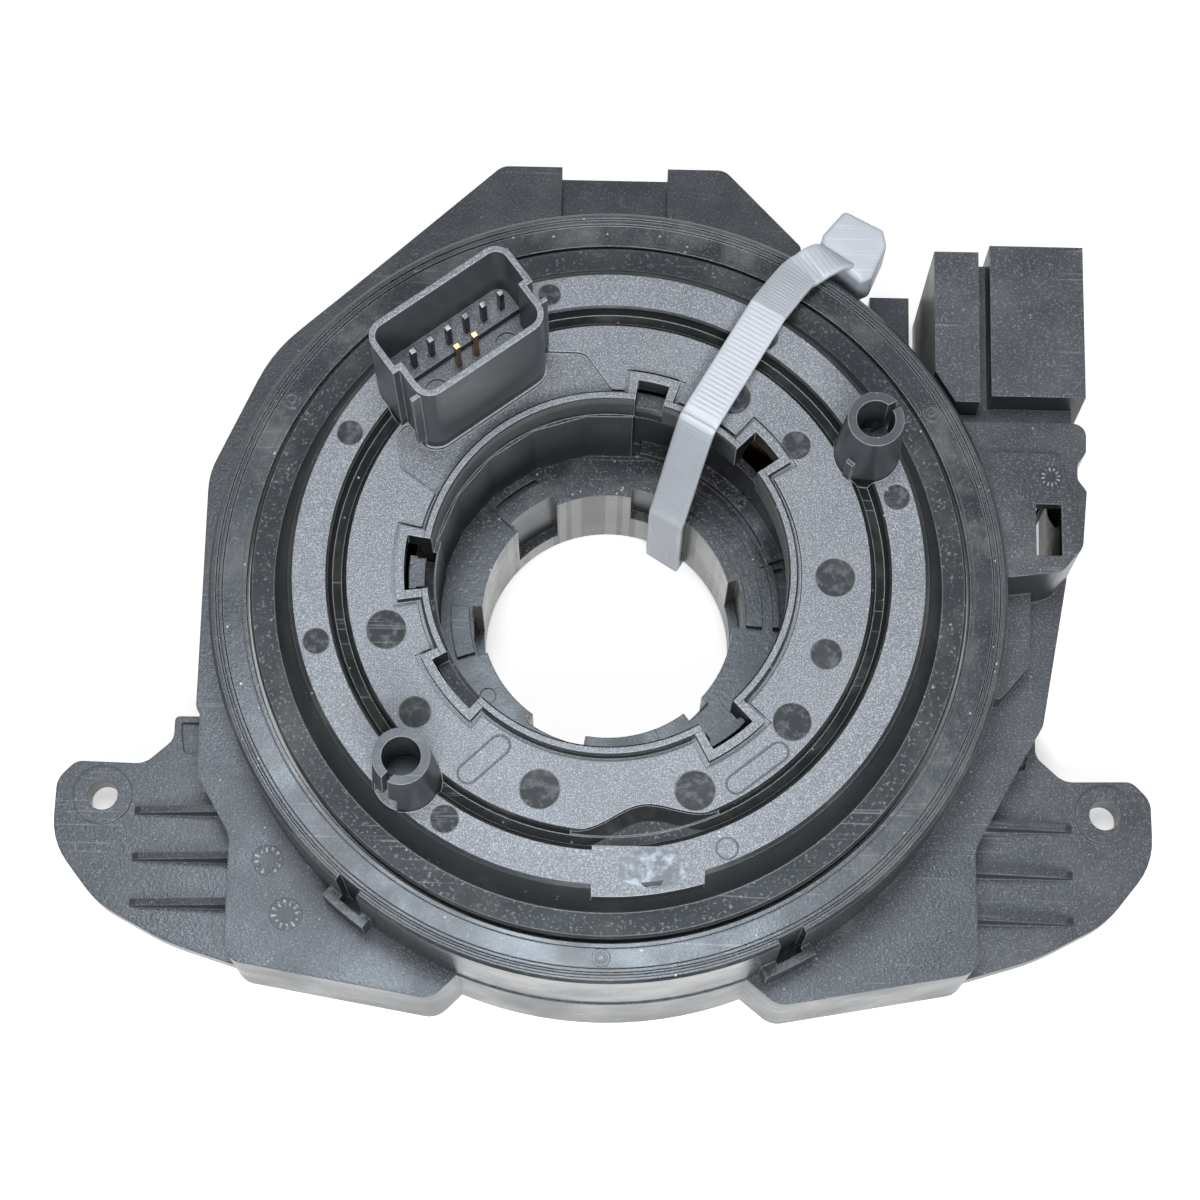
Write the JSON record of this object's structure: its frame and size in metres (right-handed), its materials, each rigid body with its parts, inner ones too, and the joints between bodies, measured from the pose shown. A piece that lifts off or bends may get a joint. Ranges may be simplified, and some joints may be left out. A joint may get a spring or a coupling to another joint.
{
  "type": "steering clock spring",
  "caption": "Steering column clock spring with a geared angle sensor, a turning face with a header and two hollow posts, and a nylon tie through its bore.",
  "frame": {"origin": "on the bore's axis at the hub's rear face", "axes": "+Z along the bore to the steering wheel, +Y to the top with the two towers, +X to the plug's side"},
  "size_m": [0.1376, 0.109, 0.057],
  "materials": {
    "housing": "spark-eroded grain, satin",
    "ring": "semi-gloss",
    "face": "fine speckled grain",
    "hub": "semi-gloss",
    "plug": "fine speckled grain",
    "rear_cover": "satin",
    "glide": "smooth",
    "ribbon": "film",
    "cable_ends": "satin",
    "gears": "smooth",
    "magnets": "ground",
    "board": "lacquer",
    "chips": "smooth",
    "tin_pins": "tinned",
    "gilt_pins": "gilt",
    "tie": "translucent nylon"
  },
  "bodies": {
    "stator": {"stator_housing": "housing", "outer_ring": "ring", "column_connector": "plug", "rear_cover": "rear_cover", "glide_ring": "glide", "flat_cable": "ribbon", "outer_cable_end": "cable_ends", "sensor_board": "board", "cable_tie": "tie", "chip_1": "chips", "chip_2": "chips", "chip_3": "chips", "column_pin_1": "tin_pins", "column_pin_2": "tin_pins", "column_pin_3": "tin_pins", "column_pin_4": "tin_pins", "column_pin_5": "tin_pins", "column_pin_6": "tin_pins", "column_pin_7": "tin_pins", "column_pin_8": "tin_pins"},
    "rotor": {"rotor_face": "face", "drive_hub": "hub", "main_gear": "gears", "inner_cable_end": "cable_ends", "header_pin_1": "tin_pins", "header_pin_2": "tin_pins", "header_pin_3": "tin_pins", "header_pin_4": "tin_pins", "header_pin_5": "tin_pins", "header_pin_6": "tin_pins", "header_pin_7": "gilt_pins", "header_pin_8": "gilt_pins"},
    "measuring_gear_1": {"angle_gear_1": "gears", "magnet_1": "magnets"},
    "measuring_gear_2": {"angle_gear_2": "gears", "magnet_2": "magnets"}
  },
  "joints": [
    {"name": "wheel_turn", "type": "hinge", "parent": "stator", "child": "rotor", "pos_m": [0, 0, 0], "axis": [0, 0, 1], "range_deg": [-30, 22]},
    {"name": "measure_turn_1", "type": "hinge", "parent": "stator", "child": "measuring_gear_1", "pos_m": [0.0344, 0, 0.008], "axis": [0, 0, 1], "range_deg": [-73, 99.5]},
    {"name": "measure_turn_2", "type": "hinge", "parent": "stator", "child": "measuring_gear_2", "pos_m": [0.0168, 0.0291, 0.008], "axis": [0, 0, 1], "range_deg": [-81, 110.5]}
  ],
  "couplings": [
    {"joint": "measure_turn_1", "follows": "wheel_turn", "ratio": -3.3},
    {"joint": "measure_turn_2", "follows": "wheel_turn", "ratio": -3.6667}
  ]
}
